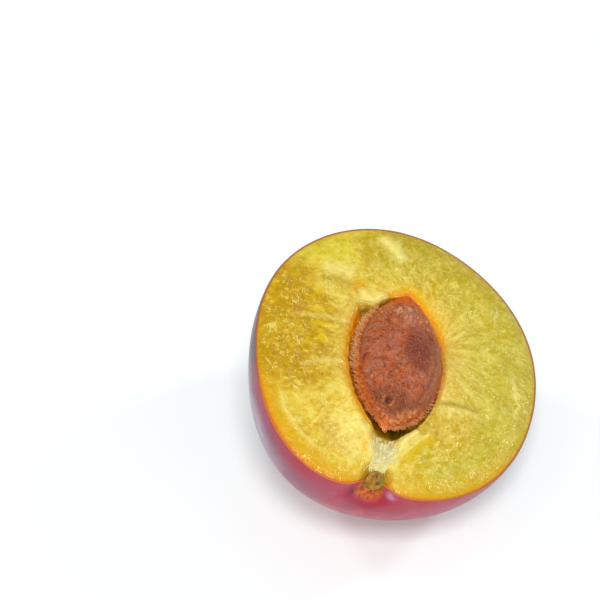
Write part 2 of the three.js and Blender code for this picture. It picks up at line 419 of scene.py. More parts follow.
def make_piece(name, points, faces, fields, finish, slot, *nodes):
    """Puts points and faces in a smooth mesh, gives it its finish and fastens it to the frame."""
    mesh = bpy.data.meshes.new(name)
    mesh.from_pydata(lay(points).tolist(), [], faces)
    mesh.polygons.foreach_set("use_smooth", np.ones(len(mesh.polygons), dtype=bool))
    add_fields(mesh, {"place": points, **fields})
    mesh.materials.append(finish)
    piece = bpy.data.objects.new(name, mesh)
    bpy.context.collection.objects.link(piece)
    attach(piece, "root")
    if nodes:
        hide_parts(*nodes)


def closed_faces(count, columns):
    """Faces of a closed skin of rings between two poles, anticlockwise seen from the last pole."""
    index = 1 + np.arange(count * columns).reshape(count, columns)
    following = np.roll(index, -1, axis=1)
    first = np.stack([np.zeros(columns, dtype=int), following[0], index[0]], -1)
    walls = np.stack([index[:-1], following[:-1], following[1:], index[1:]], -1).reshape(-1, 4)
    last = np.stack([index[-1], following[-1], np.full(columns, count * columns + 1)], -1)
    return first.tolist() + walls.tolist() + last.tolist()


def make_body(name, first, rings, last, fields, finish, slot, *nodes):
    """A piece from a closed skin of rings between two poles."""
    points = np.vstack([first, rings.reshape(-1, 3), last])
    make_piece(name, points, closed_faces(*rings.shape[:2]), fields, finish, slot, *nodes)


class Value:
    """A number or colour on its way through a finish: sums and products add their nodes."""

    def __init__(self, finish, socket):
        self.finish = finish
        self.socket = socket

    def math(self, operation, *others):
        """A Math node on this value and some more."""
        inputs = dict(enumerate((self, *others)))
        return self.finish.node("ShaderNodeMath", {"operation": operation}, inputs)

    def __add__(self, other):
        return self.math("ADD", other)

    def __mul__(self, other):
        return self.math("MULTIPLY", other)

    def __sub__(self, other):
        return self.math("SUBTRACT", other)

    def __rsub__(self, other):
        return (self * -1.0) + other

    def __pow__(self, other):
        return self.math("POWER", other)

    __radd__ = __add__
    __rmul__ = __mul__

    def most(self, other):
        """The larger of two values."""
        return self.math("MAXIMUM", other)

    def size(self):
        """The value without its sign."""
        return self.math("ABSOLUTE")

    def between(self, start, end):
        """0 at start and before, 1 at end and after, with a smooth ease between."""
        if start > end:
            return 1 - self.between(end, start)
        inputs = {0: self, 1: start, 2: end, 3: 0.0, 4: 1.0}
        return self.finish.node("ShaderNodeMapRange", {"interpolation_type": "SMOOTHSTEP"}, inputs)

    def near(self, middle, width):
        """1 at the middle and 0 from `width` away on."""
        return (self - middle).size().between(width, 0.0)


class Finish:
    """A material: nodes are added by one method, and `done` closes it with its shader."""

    def __init__(self, name):
        self.material = bpy.data.materials.new(name)
        self.material.use_nodes = True
        self.tree = self.material.node_tree
        self.tree.nodes.clear()
        self.place = self.node("ShaderNodeAttribute", {"attribute_name": "place"}, {}, 1)
        first = self.node("ShaderNodeSeparateXYZ", {}, {0: self.place})
        self.x, self.y, self.z = (Value(self, part) for part in first.socket.node.outputs)
        self.colour = None

    def node(self, kind, settings, inputs, output=0):
        """Adds a node, sets it up, fills or links its sockets and gives one of its outputs."""
        made = self.tree.nodes.new(kind)
        for name, value in settings.items():
            setattr(made, name, value)
        for name, value in inputs.items():
            if isinstance(value, Value):
                self.tree.links.new(value.socket, made.inputs[name])
            else:
                made.inputs[name].default_value = value
        return None if output is None else Value(self, made.outputs[output])

    def field(self, name):
        """A number stored for each point of the piece."""
        return self.node("ShaderNodeAttribute", {"attribute_name": name}, {}, 2)

    def distance(self, spot):
        """Millimetres from a spot on the fruit's axes."""
        inputs = {0: self.place, 1: spot}
        return self.node("ShaderNodeVectorMath", {"operation": "DISTANCE"}, inputs, 1)

    def noise(self, size, detail=3.0, roughness=0.55, stretch=(1.0, 1.0, 1.0), bend=0.0, at=None):
        """Noise from 0 to 1 with humps `size` millimetres across, longer where stretch is larger."""
        place = self.stretched(stretch, at)
        inputs = {"Vector": place, "Scale": 1.0 / size, "Detail": detail}
        inputs.update({"Roughness": roughness, "Distortion": bend})
        return self.node("ShaderNodeTexNoise", {}, inputs)

    def stretched(self, stretch, at=None):
        """The place, or another stored one, divided by a stretch along each axis."""
        scale = tuple(1.0 / s for s in stretch)
        settings = {"operation": "MULTIPLY"}
        return self.node("ShaderNodeVectorMath", settings, {0: at or self.place, 1: scale})

    def threads(self, size, width, bend=1.0, stretch=(1.0, 1.0, 1.0), at=None):
        """Thin winding lines, 1 in their middle: where a bent noise passes its middle value."""
        return (self.noise(size, 2.0, 0.5, stretch, bend, at) - 0.5).size().between(width, 0.0)

    def cells(self, size):
        """Distance to the nearest of scattered points, `size` millimetres apart."""
        inputs = {"Vector": self.place, "Scale": 1.0 / size}
        return self.node("ShaderNodeTexVoronoi", {"feature": "F1"}, inputs)

    def mix(self, first, second, share):
        """Colour from first to second by share. Either may be a screen colour of 0 to 255."""
        first, second = (tone(*c) if isinstance(c, tuple) else c for c in (first, second))
        settings = {"data_type": "RGBA", "blend_type": "MIX", "clamp_factor": True}
        return self.node("ShaderNodeMix", settings, {0: share, 6: first, 7: second}, 2)

    def paint(self, colour, share):
        """Lays a colour over the finish so far by share."""
        self.colour = self.mix(self.colour, colour, share)

    def bump(self, height):
        """A normal from a height in millimetres."""
        inputs = {"Strength": 1.0, "Distance": MILLIMETRE, "Height": height}
        return self.node("ShaderNodeBump", {}, inputs)

    def done(self, **inputs):
        """The shader with the painted colour, its sockets named with underscores for spaces."""
        named = {name.replace("_", " "): value for name, value in inputs.items()}
        named["Base Color"] = self.colour
        shader = self.node("ShaderNodeBsdfPrincipled", {"subsurface_method": "RANDOM_WALK"}, named)
        self.node("ShaderNodeOutputMaterial", {}, {"Surface": shader}, None)
        return self.material


# Spots of colour, by x, y and z on the fruit's axes
FUNNEL_SHADE = (-3.2, -25.1, -2.0)  # painted shade in a dimple left of the stalk's funnel
FUNNEL_GLOW = (1.9, -24.9, -3.0)  # a bright red spot right of it
FUNNEL_SHEEN = (3.0, -24.6, -1.1)  # a pale sheen right of it, by the rim
GOLD_PATCH = (9.0, -11.0, 0.8)  # a golden patch at the lower right
PALE_CHEEK = (-5.8, -17.0, 0.6)  # a pale swelling left of the valley
SCORCH = (-8.6, 12.3, 0.8)  # an orange spot where the flap is torn
STALK_END = (-0.3, -22.8, -0.3)  # painted shade on the flesh round the stalk's scar
FOOT_SHADE = (1.5, -10.2, 2.7)  # the dent by the stone's foot
GREEN_FLECK = (1.2, -23.2, -0.4)  # a green fleck on the stalk's scar


def tone(*screen):
    """A screen colour of 0 to 255 as the shader's linear one: the standard curve of the screen."""
    linear = [((v / 255 + 0.055) / 1.055) ** 2.4 if v > 10 else v / 3294.6 for v in screen]
    return (*linear, 1.0)


def skin_finish():
    """Waxy skin: rose-crimson round the stalk end, deep purple elsewhere, with bloom, pale dots and
    a russet patch with rays in the stalk's funnel."""
    f = Finish("waxy_plum_skin")
    lip = f.field("lip")
    blotch = f.noise(9.0, 4.0)
    fine = f.noise(1.2, 4.0, 0.6)
    streak = f.noise(2.2, 3.0, 0.6, stretch=(1.0, 5.0, 1.0))
    drift = blotch - 0.5
    rosy = (f.y + f.z * 0.1 + drift * 9.0).between(-3.0, -15.0)
    rosy = rosy * (f.x + f.z * -0.3 + drift * 4.0).between(-21.0, -10.0)
    deep = f.mix((44, 10, 30), (80, 22, 48), blotch.between(0.35, 0.7))
    rose = f.mix((164, 20, 38), (184, 52, 70), streak.between(0.35, 0.7))
    mauve = f.mix((134, 40, 68), (164, 74, 98), fine)
    to_sides = (f.x + drift * 8.0).between(-3.0, -13.0).most(f.x.between(8.0, 18.0) * 0.6)
    rose = f.mix(rose, mauve, to_sides)
    f.colour = f.mix(deep, rose, rosy)

    # crimson under the cut edge, bloom, a painted pale sheen at the left, a painted dark
    # reflection at the far left, and dots
    at_edge = (f.z + drift * 2.0).between(-5.5, -1.0) * f.y.between(-5.0, -13.0)
    f.paint((186, 34, 48), at_edge * 0.7)
    bloom = f.noise(7.0, 5.0, 0.55).between(0.3, 0.85) * 0.3
    f.paint((150, 132, 170), bloom)
    painted_left_sheen = f.x.between(-12.0, -19.0) * f.y.between(4.0, -6.0) * f.z.between(-1.5, -6.0)
    painted_left_sheen = painted_left_sheen * (f.z + drift * 8.0).between(-18.0, -11.0)
    f.paint((198, 172, 192), painted_left_sheen * blotch.between(0.1, 0.7) * 0.9)
    # painted dark reflection along the far left edge
    f.paint((70, 16, 44), f.x.between(-21.0, -24.0) * f.y.between(-8.0, 2.0) * 0.7)
    dots = f.cells(1.6).between(0.1, 0.05)
    f.paint((214, 150, 138), dots * 0.35)

    # the stalk's funnel
    squeezed = f.node("ShaderNodeVectorMath", {"operation": "MULTIPLY_ADD"},
                      {0: f.place, 1: (1.0, 0.0, 1.0), 2: (0.5, 0.0, 1.5)})
    reach = f.node("ShaderNodeVectorMath", {"operation": "LENGTH"}, {0: squeezed}, 1)
    at_stalk = f.y.between(-15.0, -19.0)
    rays = f.noise(0.45, 3.0, 0.6, stretch=(1.0, 1.0, 3.5))
    russet = (reach + (rays - 0.5) * 1.8).between(2.8, 1.6) * at_stalk
    cork = f.mix((170, 66, 20), (214, 124, 56), rays.between(0.36, 0.62))
    # painted pinkish sheen on the russet's left
    cork = f.mix(cork, (226, 150, 110), f.x.between(-1.6, -2.8) * fine.between(0.4, 0.6) * 0.8)
    cork = f.mix(cork, (150, 84, 14), f.z.between(-1.9, -1.2) * 0.6)
    shade = reach.near(3.3, 1.2) * at_stalk
    f.paint((150, 28, 50), shade * 0.5)
    f.paint((112, 30, 48), f.distance(FUNNEL_SHADE).between(1.3, 0.2) * 0.8)
    f.paint((178, 22, 40), f.distance(FUNNEL_GLOW).between(1.5, 0.3) * 0.5)
    sheen = (f.distance(FUNNEL_SHEEN) + fine * 1.2).between(2.1, 0.7)
    f.paint((206, 166, 200), sheen * fine.between(0.36, 0.6) * 0.7)
    f.paint(cork, russet)

    # the cut edge's thin lip
    lip_low = f.y.between(-8.0, -17.0) * f.x.between(14.0, 2.0)
    f.paint(f.mix((164, 110, 56), (208, 116, 40), lip_low), lip)
    height = f.noise(0.5, 3.0) * 0.006 + fine * 0.01 + russet * rays * 0.1
    return f.done(
        Roughness=fine * 0.12 + 0.26 + russet * 0.2 + bloom * 0.5,
        Normal=f.bump(height),
        Subsurface_Weight=0.12,
        Subsurface_Radius=(0.8, 0.25, 0.3),
        Subsurface_Scale=1.0 * MILLIMETRE,
        Specular_IOR_Level=0.34,
        Specular_Tint=(0.8, 0.55, 0.7, 1.0),
        Coat_Weight=0.04,
        Coat_Roughness=0.12,
    )


def flesh_finish():
    """Wet cut flesh: ochre at the left, olive-yellow above, pale green-yellow at the right, orange at
    the rim and round the stone, cream in the valley, with pale fibres, painted highlights on the wet
    crests and flecks, and painted shade in creases, round the stalk's scar and in the hollow."""
    f = Finish("wet_plum_flesh")
    inward = f.field("inward")
    to_stone = f.field("to_stone")
    valley_floor = f.field("valley")
    painted_crease_shade = f.field("painted_crease_shade")
    pale = f.field("pale")
    crest = f.field("crest")
    fibre_place = f.node("ShaderNodeAttribute", {"attribute_name": "fibre_place"}, {}, 1)
    drift = f.noise(6.0, 3.0) - 0.5
    wander = f.noise(2.6, 3.0) - 0.5
    lump = f.noise(1.25, 2.0, 0.5, bend=0.5)
    small = f.noise(0.8, 3.0, 0.6, bend=0.3)
    tiny = f.noise(0.36, 3.0, 0.65)
    # x and y that wander, for borders that do
    x = f.x + drift * 9.0 + wander * 3.0
    y = f.y + drift * 8.0 + wander * 3.0
    on_face = to_stone.between(-0.3, 0.0)

    # the broad hues: an ochre field at the left, green-yellow above, lemon below
    f.colour = f.mix((216, 180, 22), (188, 170, 22), x.between(2.0, 12.0))
    field_x = (x + 18.5) * 0.1
    field_y = (y - 0.5) * 0.066
    left = (field_x * field_x + field_y * field_y).between(1.35, 0.25)
    f.paint((184, 140, 0), left)
    f.paint((178, 158, 4), y.between(12.0, 22.0) * x.between(-12.0, -4.0))
    f.paint((214, 200, 34), y.between(12.0, 16.0) * x.between(-7.0, -12.0) * 0.8)
    low = y.between(-9.0, -17.0) * x.between(3.0, -5.0)
    f.paint((220, 184, 28), low)
    light = f.mix((250, 236, 128), (242, 212, 36), left)

    # green, amber and milky clouds inside the flesh
    green = f.noise(3.1, 3.0).between(0.48, 0.7) * x.between(-2.0, 6.0).most(y.between(8.0, 15.0))
    f.paint((172, 160, 10), green * 0.4)
    amber = f.noise(2.6, 3.0, 0.6).between(0.46, 0.68)
    f.paint((176, 122, 0), amber * left * 0.7)
    f.paint((214, 160, 0), amber * low * 0.5)
    cloud = f.noise(2.4, 5.0, 0.7, bend=0.4).between(0.44, 0.7)
    milky = low * 0.4 + x.between(5.0, 13.0) * y.between(-8.0, 0.0) * 0.35 + 0.22 - left * 0.18
    f.paint((240, 222, 106), cloud * milky)
    gold_patch = (f.distance(GOLD_PATCH) + drift * 6.0).between(8.0, 3.0)
    f.paint((198, 162, 0), gold_patch * 0.85)
    f.paint((178, 168, 54), (x + y * 0.15).between(15.0, 23.0) * 0.5)
    beside = to_stone.between(6.5, 1.5) * f.x.between(1.0, 6.0) * f.y.between(-12.0, -3.0)
    f.paint((230, 188, 76), beside * 0.7)
    beside_left = to_stone.between(5.0, 1.2) * f.x.between(-4.0, -7.0) * f.y.between(-10.0, -2.0)
    f.paint((212, 178, 76), beside_left * f.y.between(12.0, 7.0) * 0.75)
    cheek = (f.distance(PALE_CHEEK) + wander * 4.0).between(6.0, 2.0)
    f.paint((248, 228, 128), cheek * 0.6)

    # fibres run out from the stone; flecks of light and dark between them, painted glints at the
    # left and below, and painted highlights at the right
    long_fibre = f.threads(0.6, 0.1, 0.25, at=fibre_place)
    soft_fibre = f.noise(0.5, 3.0, 0.6, at=fibre_place).between(0.48, 0.7)
    bands = f.noise(1.3, 2.0, 0.5, stretch=(1.0, 1.0, 1.6), at=fibre_place)
    near = to_stone.between(13.0, 3.0)
    streaky = near * 0.45 + low * 0.5 + left * 0.4 + 0.12
    f.paint((190, 140, 0), bands.between(0.5, 0.34) * streaky * 0.6)
    f.paint(light, bands.between(0.52, 0.68) * streaky * 0.6)
    f.paint(light, long_fibre * (near * 0.26 + 0.06))
    f.paint(light, soft_fibre * (near * 0.16 + low * 0.2 + left * 0.12 + 0.08))
    soft_lump = f.noise(1.8, 3.0, 0.55, bend=0.4)
    uneven = 0.32 - f.x.between(2.0, 12.0) * 0.16
    f.paint(light, soft_lump.between(0.52, 0.7) * uneven)
    f.paint((176, 136, 0), soft_lump.between(0.47, 0.32) * uneven)
    f.paint(light, small.between(0.52, 0.7) * uneven)
    f.paint((172, 130, 0), small.between(0.46, 0.3) * uneven)
    f.paint(light, tiny.between(0.54, 0.72) * uneven * 0.4)
    f.paint((168, 124, 0), tiny.between(0.46, 0.3) * uneven * 0.4)
    # painted glints: pale flecks on the wet flesh
    fleck = f.noise(0.7, 2.0, 0.5, stretch=(1.3, 1.0, 1.0), bend=0.6).between(0.6, 0.68)
    fleck = fleck * (left * 0.8 + low * 0.4)
    f.paint((250, 232, 100), fleck * 0.6)
    # painted highlights: soft pale marks at the right
    mark = f.noise(1.7, 3.0, 0.55, stretch=(0.65, 1.5, 1.0), bend=0.8).between(0.57, 0.7)
    mark = mark * f.x.between(6.0, 16.0) * f.y.between(-14.0, -3.0)
    f.paint((250, 240, 160), mark * 0.4)

    # orange against the stone and towards the skin
    upper_right = f.x.between(-1.2, 0.6) * f.y.between(3.0, 6.0)
    golden = to_stone.between(3.4, 1.0) * f.x.between(-2.5, 0.5) * f.y.between(6.0, 10.0)
    f.paint((236, 184, 0), golden * 0.85)
    tip = to_stone.between(1.6, 0.4) * f.y.between(11.0, 13.5)
    band = ((to_stone + wander * 1.2).between(1.8, 0.7) * upper_right).most(tip)
    f.paint((236, 158, 0), band)
    f.paint((228, 100, 0), to_stone.between(0.6, 0.05) * upper_right * 0.8)
    tint = (to_stone + wander).between(1.7, 0.4) * f.y.between(-15.0, -12.5) * f.x.between(-1.6, -3.4)
    f.paint((216, 150, 0), tint * f.y.between(9.0, 6.0) * 0.9)
    right_tint = to_stone.between(0.9, 0.2) * f.x.between(4.0, 6.0) * f.y.between(-8.0, -3.0)
    f.paint((214, 134, 14), right_tint * 0.7)
    scorch = (f.distance(SCORCH) + drift * 2.0).between(2.4, 0.4)
    f.paint((226, 160, 0), scorch * on_face * 0.7)
    outer = inward + f.noise(2.0, 3.0) * 2.6
    below = f.y.between(-6.0, -16.0) * (1 - f.x.between(-2.0, 8.0) * 0.45)
    f.paint((214, 162, 0), outer.between(5.6, 1.8) * (below * 0.8 + 0.05))
    f.paint((226, 140, 6), inward.between(1.0, 0.3) * (below * 0.45 + 0.1))
    f.paint((206, 112, 40), inward.between(0.35, 0.1) * (below * 0.5 + 0.25))

    # painted shade in the creases, pale tears with painted highlights on some ridges, and painted
    # highlights on the wet crests
    f.paint((160, 138, 0), painted_crease_shade * (small * 0.8 + 0.2))
    f.paint((248, 234, 138), pale * (small * 0.6 + 0.45))
    f.paint((252, 236, 140), crest.between(0.25, 0.8) * 0.45)
    f.paint((242, 172, 4), f.field("amber") * soft_lump.between(0.3, 0.6) * 0.8)
    f.paint((222, 188, 0), f.field("golden") * (small * 0.8 + 0.4))

    # painted shade round the stalk's scar
    stalk = (f.distance(STALK_END) + wander * 1.5).between(3.4, 1.6)
    f.paint((158, 112, 0), stalk * 0.75)

    # the valley: amber under the stone's foot, then beige, then cream threads
    strands = f.noise(0.42, 3.0, 0.6, stretch=(1.0, 9.0, 1.0))
    cream = f.mix((226, 210, 126), (255, 255, 236), strands.between(0.36, 0.48))
    beige = f.mix((176, 150, 60), (240, 226, 160), strands.between(0.38, 0.56))
    cream = f.mix(beige, cream, (f.y + strands * 3.0).between(-14.4, -16.2))
    cream = f.mix(cream, (184, 134, 16), (f.y + strands * 2.0).between(-14.4, -13.2))
    f.paint(cream, (valley_floor + strands * 0.5).between(0.45, 0.95))

    # the hollow: bright orange at its lip, brown deeper down, painted olive shade in its upper part
    # and round the foot, darker brown beside the foot at the right, and painted shade under the foot
    flap = f.y.between(7.0, 9.0) * f.x.between(-2.6, -3.8)
    lip = f.mix((228, 134, 0), (206, 158, 60), flap)
    f.paint(lip, to_stone.between(-0.02, -0.3) * (1 - valley_floor * 0.8))
    f.paint((184, 104, 6), to_stone.between(-0.9, -2.6) * (1 - valley_floor * 0.5))
    # painted shade: olive in the hollow's upper part and round the foot
    olive = f.y.between(6.5, 8.5).most(f.y.between(-9.0, -12.0))
    f.paint((146, 104, 2), olive * to_stone.between(-0.1, -0.7))
    beside_foot = f.y.between(-4.0, -6.0) * f.x.between(3.0, 4.4)
    f.paint((132, 84, 6), beside_foot * to_stone.between(-0.02, -0.4))
    shaded = f.y.between(-11.4, -12.6) * f.x.between(0.4, 1.6)
    f.paint((84, 64, 0), shaded * to_stone.between(0.05, -0.3))

    height = lump * 0.22 + small * 0.11 + mark * 0.1 + tiny * 0.03
    height = height + long_fibre * near * 0.02 + bands * streaky * 0.25 + soft_fibre * 0.02
    height = height + crest * 0.1 + fleck * 0.05 + strands * valley_floor * 0.1
    wet = crest.between(0.2, 0.7).most(lump.between(0.5, 0.62))
    return f.done(
        Roughness=0.28 - wet * 0.16 + tiny * 0.06,
        Normal=f.bump(height),
        Subsurface_Weight=0.25,
        Subsurface_Radius=(1.0, 0.6, 0.14),
        Subsurface_Scale=0.9 * MILLIMETRE,
        Specular_IOR_Level=0.5,
        Specular_Tint=(1.0, 0.92, 0.55, 1.0),
    )


def stone_finish():
    """Moist stone: fibrous red-brown with grey-rose and purple clouds, orange at its tip, foot and
    left edge, tan where flesh still clings, a grey flank at the right that is partly painted
    sheen, and painted shade in its pit and in the dent beside it."""
    f = Finish("moist_plum_stone")
    edge = f.field("edge")
    seam = f.field("seam")
    large = f.noise(3.4, 4.0, 0.6, bend=0.5)
    middle = f.noise(1.6, 4.0, 0.65, bend=0.8)
    small = f.noise(0.8, 5.0, 0.7, bend=0.6)
    fine = f.noise(0.28, 3.0, 0.65)
    along = f.noise(0.5, 3.0, 0.6, stretch=(1.0, 3.5, 1.0), bend=0.8)
    threads = f.threads(0.8, 0.09, 1.4)
    more_threads = f.threads(0.5, 0.1, 1.0, stretch=(1.0, 2.0, 1.0))
    drift = large - 0.5
    mottle = middle - 0.5

    f.colour = f.mix((130, 46, 12), (198, 98, 40), small.between(0.38, 0.62))
    lilac = f.noise(2.3, 4.0, 0.65, bend=1.0).between(0.47, 0.6)
    f.paint(f.mix((150, 84, 72), (198, 134, 116), small), lilac * 0.7)
    f.paint((210, 84, 20), along.between(0.54, 0.64) * (1 - lilac * 0.7) * 0.7)
    f.paint((100, 30, 14), middle.between(0.46, 0.34) * 0.7)
    pale_spots = f.noise(1.1, 4.0, 0.7, bend=1.2).between(0.56, 0.66)
    f.paint((218, 156, 126), pale_spots * 0.6)

    # the dark wine-red cloud right of the middle, the dark foot, the grey flank (partly its own
    # grey tone and partly painted sheen) and its seam
    spot = (f.x - 2.6) * (f.x - 2.6) * 0.1 + (f.y - 1.0) * (f.y - 1.0) * 0.045 + drift * 1.8
    f.paint(f.mix((84, 12, 8), (124, 38, 24), small), spot.between(1.4, 0.1) * 0.95)
    lower = (f.y + mottle * 6.0).between(-6.5, -9.5) * (edge + mottle * 3.0).between(1.0, 2.2)
    f.paint(f.mix((76, 24, 8), (138, 70, 44), small), lower * 0.9)
    flank = (f.x + drift * 1.5 + f.y * 0.06).between(3.9, 5.0) * f.y.between(-12.0, -7.0)
    f.paint((160, 102, 74), flank * f.y.between(7.0, 2.0) * 0.7)
    f.paint((104, 48, 26), seam * 0.7)

    # the pit in painted shade with its pale rim, and painted shade in the dent beside it
    from_pit_x, from_pit_y = f.x - PIT_X, f.y - PIT_Y
    to_pit = (from_pit_x * from_pit_x + from_pit_y * from_pit_y) ** 0.5 + (small - 0.5) * 0.5
    f.paint((44, 10, 4), to_pit.between(0.62, 0.25) * 0.95)
    f.paint((230, 136, 72), to_pit.near(0.85, 0.3) * middle.between(0.42, 0.56) * 0.8)
    f.paint((60, 22, 12), f.distance(FOOT_SHADE).between(1.0, 0.2) * 0.7)

    # pale and rusty fibres over the surface
    f.paint((214, 146, 102), threads * 0.3)
    f.paint((206, 84, 28), more_threads * 0.28)
    f.paint((222, 172, 148), fine.between(0.58, 0.74) * 0.4)
    f.paint((76, 24, 12), fine.between(0.42, 0.28) * 0.5)
    tufts = f.noise(0.7, 3.0, 0.6, stretch=(1.0, 2.6, 1.0), bend=1.2).between(0.52, 0.64)
    tufts = tufts * f.y.between(4.5, 7.0) * f.y.between(10.6, 9.4)
    f.paint((236, 178, 120), tufts * 0.8)

    # orange tip, foot and left edge; tan where the fringe stands
    tip = (f.y + drift * 1.4 + f.x.size() * 0.25).between(9.6, 10.9)
    f.paint(f.mix((214, 80, 6), (232, 112, 30), small), tip * 0.95)
    rusty = f.mix((214, 84, 10), (236, 130, 50), along)
    reach = f.y.between(-1.0, -9.0) * 0.6 + 0.6
    left_edge = (edge + mottle * 2.4 - reach).between(0.7, -0.5) * f.x.between(1.0, -2.0)
    f.paint(rusty, left_edge * f.y.between(1.5, -2.5) * 0.9)
    foot = (f.y + mottle * 3.0 - f.x.size() * 0.6).between(-11.2, -12.6)
    rust = f.mix((200, 86, 22), (244, 162, 96), along.between(0.36, 0.6))
    rust = f.mix(rust, (140, 52, 14), middle.between(0.48, 0.36) * 0.7)
    f.paint(rust, foot * 0.9)
    tan = f.mix((222, 130, 64), (250, 190, 120), along)
    fringe = (edge + mottle * 2.4).between(0.6, -0.1) * f.x.between(-1.0, -4.0)
    fringe = fringe * (f.y + mottle * 4.0).between(-4.0, -1.0)
    f.paint(tan, fringe)
    right_edge = (edge + mottle * 1.6).between(1.4, 0.5) * f.x.between(2.0, 4.0) * f.y.between(4.0, -2.0)
    f.paint((200, 104, 46), right_edge * 0.75)

    height = small * 0.3 + middle * 0.4 + along * 0.1 + fine * 0.06
    height = height + threads * 0.05 + more_threads * 0.03
    return f.done(
        Roughness=0.36 - small.between(0.5, 0.7) * 0.2 + fine * 0.1,
        Normal=f.bump(height),
        Subsurface_Weight=0.08,
        Subsurface_Radius=(0.8, 0.3, 0.12),
        Subsurface_Scale=1.0 * MILLIMETRE,
        Specular_IOR_Level=0.42,
        Specular_Tint=(1.0, 0.82, 0.66, 1.0),
    )


def strand_finish(name, root, tip, light):
    """Fibres: one colour at the root and another at the tip, with light stretches."""
    f = Finish(name)
    f.colour = f.mix(root, tip, f.field("along").between(0.1, 0.9))
    f.paint(light, f.noise(0.7, 2.0).between(0.45, 0.7) * 0.5)
    return f.done(
        Roughness=0.4,
        Subsurface_Weight=0.2,
        Subsurface_Radius=(0.5, 0.3, 0.15),
        Subsurface_Scale=0.6 * MILLIMETRE,
        Specular_IOR_Level=0.35,
    )


def scar_finish():
    """The stalk's torn base: moist olive-brown with a green fleck and a tan lower edge."""
    f = Finish("stalk_scar")
    lumps = f.noise(0.7, 3.0, 0.6, bend=0.5)
    fine = f.noise(0.22, 2.0)
    f.colour = f.mix((96, 68, 6), (176, 124, 20), lumps.between(0.36, 0.64))
    fleck = f.distance(GREEN_FLECK).between(1.0, 0.3)
    f.paint((132, 140, 24), fleck * 0.8)
    f.paint((186, 136, 44), (f.y + lumps * 1.4).between(-22.9, -23.8) * 0.9)
    f.paint((198, 104, 40), (f.y + lumps * 1.6).between(-23.3, -24.0) * 0.9)
    f.paint((206, 176, 80), fine.between(0.58, 0.74) * 0.3)
    return f.done(
        Roughness=0.34 + fine * 0.2,
        Normal=f.bump(lumps * 0.12 + fine * 0.04),
        Subsurface_Weight=0.15,
        Subsurface_Radius=(0.7, 0.45, 0.12),
        Subsurface_Scale=0.8 * MILLIMETRE,
        Specular_IOR_Level=0.4,
    )


WHITE = (1.0, 1.0, 1.0, 1.0)
FLOOR_COLOUR = (0.74, 0.78, 0.78, 1.0)
FLOOR_GLOW = 0.24


def floor_finish():
    """Plain matt white, lit a little from below as on a photographer's light table."""
    f = Finish("white_floor")
    f.colour = FLOOR_COLOUR
    return f.done(
        Roughness=0.8,
        Specular_IOR_Level=0.1,
        Emission_Color=WHITE,
        Emission_Strength=FLOOR_GLOW,
    )


# How finely the skin is divided: columns gather at the stalk end and outer rings at the cut edge,
# and the inner rings stand at some shares of the way down to the resting spot
SKIN_COLUMNS = 300
SKIN_CROWDING = 0.6
SKIN_RINGS = 120
EDGE_CROWDING = 1.25
LIP_RINGS = 5
LIP_ROUNDING = 0.04
INNER_FALLS = np.array([0.0, 0.02, 0.06, 0.15, 0.35, 0.6, 0.85])


def skin_rings():
    """Outer bowl from the resting spot up, round the cut edge's lip and down the inner bowl."""
    angles = column_angles(SKIN_COLUMNS, SKIN_CROWDING)
    falls = (1 - np.arange(1, SKIN_RINGS + 1) / SKIN_RINGS) ** EDGE_CROWDING
    outer = bowl(bowl_directions(angles, falls), 0.0)
    outer[-1, :, 2] -= LIP_ROUNDING
    edge = bowl_directions(angles, np.zeros(1))
    insets = SKIN_THICKNESS * np.arange(1, LIP_RINGS + 1) / (LIP_RINGS + 1)
    lip = np.vstack([bowl(edge, inset) for inset in insets])
    inner = bowl(bowl_directions(angles, INNER_FALLS), SKIN_THICKNESS)
    return np.vstack([outer, lip, inner])


def make_skin(finish):
    """The skin, with faint dents and the rays and lumps of the stalk's funnel."""
    rings = skin_rings()
    relief = 0.05 * noise(rings, 7.0, 11) + 0.018 * noise(rings, 2.4, 12)
    reach = np.hypot(rings[..., 0] - STALK_X, rings[..., 2] + 0.6)
    in_funnel = hump(reach, 3.2) * (rings[..., 1] < -15)
    around = np.arctan2(rings[..., 2], rings[..., 0] - STALK_X)
    rays = noise(np.stack([around * 4.0, reach * 0.4, np.zeros_like(reach)], -1), 1.0, 13)
    relief += in_funnel * (0.12 * rays + 0.1 * noise(rings, 0.7, 14))
    clear = step(FLOOR_HEIGHT, FLOOR_HEIGHT + 2.5, rings @ UP)
    rings = rings - normals_of(rings) * np.abs(relief * clear)[..., None] * 0.8
    lip = np.zeros(rings.shape[:2])
    lip[SKIN_RINGS:SKIN_RINGS + LIP_RINGS + 1] = 1
    first = bowl(LOWEST[None], 0.0)
    last = bowl(LOWEST[None], SKIN_THICKNESS)
    make_body("plum_skin", first, rings, last, {"lip": np.pad(lip.ravel(), 1)}, finish, "skin", "skin")


FLESH_COLUMNS = 420
FLESH_CROWDING = 0.3
FLESH_BOWL_FALLS = np.array([0.95, 0.8, 0.6, 0.4, 0.22, 0.1, 0.04, 0.012, 0.0])
FACE_RINGS = 168
HOLLOW_RINGS = 44


